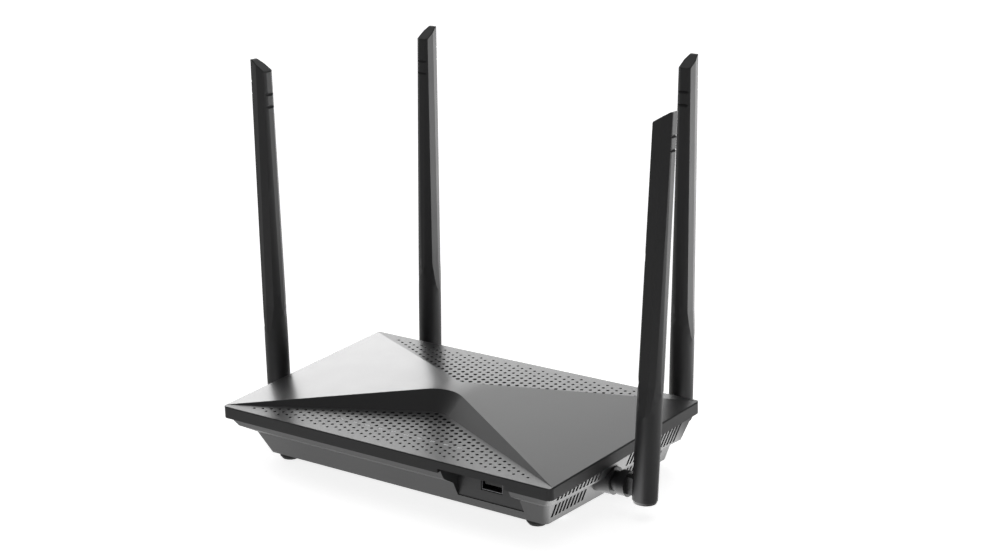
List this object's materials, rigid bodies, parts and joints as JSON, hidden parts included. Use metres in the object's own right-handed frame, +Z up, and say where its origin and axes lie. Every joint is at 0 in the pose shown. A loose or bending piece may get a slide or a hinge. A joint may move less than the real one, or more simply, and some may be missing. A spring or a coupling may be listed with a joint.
{
  "type": "wireless router",
  "caption": "Flat black wireless router: perforated cover with a bow-tie crest, bevelled vented case, swivelling blade antennas, network sockets, a front USB socket and push buttons.",
  "frame": {"origin": "on the desk, under the centre of the whole object's box, antennas upright", "axes": "+Z up, +X to the router's right as seen from its front, +Y from the front with the indicator windows to the back with the sockets"},
  "size_m": [0.2716, 0.1669, 0.2222],
  "materials": {
    "cover_plastic": "semi-gloss black moulding",
    "case_plastic": "fine satin black moulding",
    "antenna_plastic": "satin black moulding",
    "swivel_plastic": "satin black moulding",
    "foot_rubber": "matt soft rubber",
    "screw_steel": "zinc plated",
    "pin_steel": "ground steel",
    "circuit_board": "green solder resist",
    "chip_plastic": "moulded epoxy",
    "heat_sink_metal": "plain extruded",
    "transformer_plastic": "moulded epoxy",
    "capacitor_can": "drawn can",
    "shield_metal": "tinned sheet",
    "led_plastic": "clear epoxy",
    "light_guide_plastic": "milky clear moulding",
    "wan_plastic": "moulded",
    "lan_plastic": "moulded",
    "inlet_plastic": "moulded",
    "switch_plastic": "moulded",
    "button_plastic": "moulded",
    "usb_metal": "nickel plated sheet",
    "radiator_strip": "copper-faced laminate"
  },
  "bodies": {
    "housing": {"board_screws": "screw_steel", "bottom_case": "case_plastic", "capacitors": "capacitor_can", "case_screws": "screw_steel", "heat_sink": "heat_sink_metal", "indicator_leds": "led_plastic", "lan_jacks": "lan_plastic", "light_guide": "light_guide_plastic", "main_board": "circuit_board", "memory_chips": "chip_plastic", "power_inlet": "inlet_plastic", "power_switch": "switch_plastic", "processor": "chip_plastic", "radio_shields": "shield_metal", "reset_switch": "switch_plastic", "rubber_feet": "foot_rubber", "switch_chip": "chip_plastic", "top_cover": "cover_plastic", "transformers": "transformer_plastic", "usb_socket": "usb_metal", "wan_jack": "wan_plastic", "wps_switch": "switch_plastic"},
    "side_left_swivel_body": {"side_left_swivel": "swivel_plastic"},
    "side_left_antenna_body": {"side_left_antenna": "antenna_plastic", "side_left_hinge_pin": "pin_steel", "side_left_radiator": "radiator_strip"},
    "side_right_swivel_body": {"side_right_swivel": "swivel_plastic"},
    "side_right_antenna_body": {"side_right_antenna": "antenna_plastic", "side_right_hinge_pin": "pin_steel", "side_right_radiator": "radiator_strip"},
    "rear_left_swivel_body": {"rear_left_swivel": "swivel_plastic"},
    "rear_left_antenna_body": {"rear_left_antenna": "antenna_plastic", "rear_left_hinge_pin": "pin_steel", "rear_left_radiator": "radiator_strip"},
    "rear_right_swivel_body": {"rear_right_swivel": "swivel_plastic"},
    "rear_right_antenna_body": {"rear_right_antenna": "antenna_plastic", "rear_right_hinge_pin": "pin_steel", "rear_right_radiator": "radiator_strip"},
    "power_button_body": {"power_button": "button_plastic"},
    "wps_button_body": {"wps_button": "button_plastic"},
    "reset_button_body": {"reset_button": "button_plastic"}
  },
  "joints": [
    {"name": "side_left_turn", "type": "hinge", "parent": "housing", "child": "side_left_swivel_body", "pos_m": [-0.1233, -0.01915, 0.0162], "axis": [-1, 0, 0], "range_deg": [-90, 90]},
    {"name": "side_left_tilt", "type": "hinge", "parent": "side_left_swivel_body", "child": "side_left_antenna_body", "pos_m": [-0.1233, -0.01915, 0.0162], "axis": [0, -1, 0], "range_deg": [-2, 88]},
    {"name": "side_right_turn", "type": "hinge", "parent": "housing", "child": "side_right_swivel_body", "pos_m": [0.1233, -0.01915, 0.0162], "axis": [1, 0, 0], "range_deg": [-90, 90]},
    {"name": "side_right_tilt", "type": "hinge", "parent": "side_right_swivel_body", "child": "side_right_antenna_body", "pos_m": [0.1233, -0.01915, 0.0162], "axis": [0, 1, 0], "range_deg": [-2, 88]},
    {"name": "rear_left_turn", "type": "hinge", "parent": "housing", "child": "rear_left_swivel_body", "pos_m": [-0.0872, 0.07685, 0.0262], "axis": [0, 1, 0], "range_deg": [-90, 50]},
    {"name": "rear_left_tilt", "type": "hinge", "parent": "rear_left_swivel_body", "child": "rear_left_antenna_body", "pos_m": [-0.0872, 0.07685, 0.0262], "axis": [-1, 0, 0], "range_deg": [0, 90]},
    {"name": "rear_right_turn", "type": "hinge", "parent": "housing", "child": "rear_right_swivel_body", "pos_m": [0.0872, 0.07685, 0.0262], "axis": [0, 1, 0], "range_deg": [-50, 90]},
    {"name": "rear_right_tilt", "type": "hinge", "parent": "rear_right_swivel_body", "child": "rear_right_antenna_body", "pos_m": [0.0872, 0.07685, 0.0262], "axis": [-1, 0, 0], "range_deg": [0, 90]},
    {"name": "power_press", "type": "slide", "parent": "housing", "child": "power_button_body", "axis": [0, -1, 0], "range_m": [0, 0.002], "stiffness_N_per_m": 500, "springref_m": -0.001},
    {"name": "wps_press", "type": "slide", "parent": "housing", "child": "wps_button_body", "axis": [0, -1, 0], "range_m": [0, 0.0006], "stiffness_N_per_m": 2000, "springref_m": -0.0003},
    {"name": "reset_press", "type": "slide", "parent": "housing", "child": "reset_button_body", "axis": [0, -1, 0], "range_m": [0, 0.0005], "stiffness_N_per_m": 2000, "springref_m": -0.0003}
  ]
}
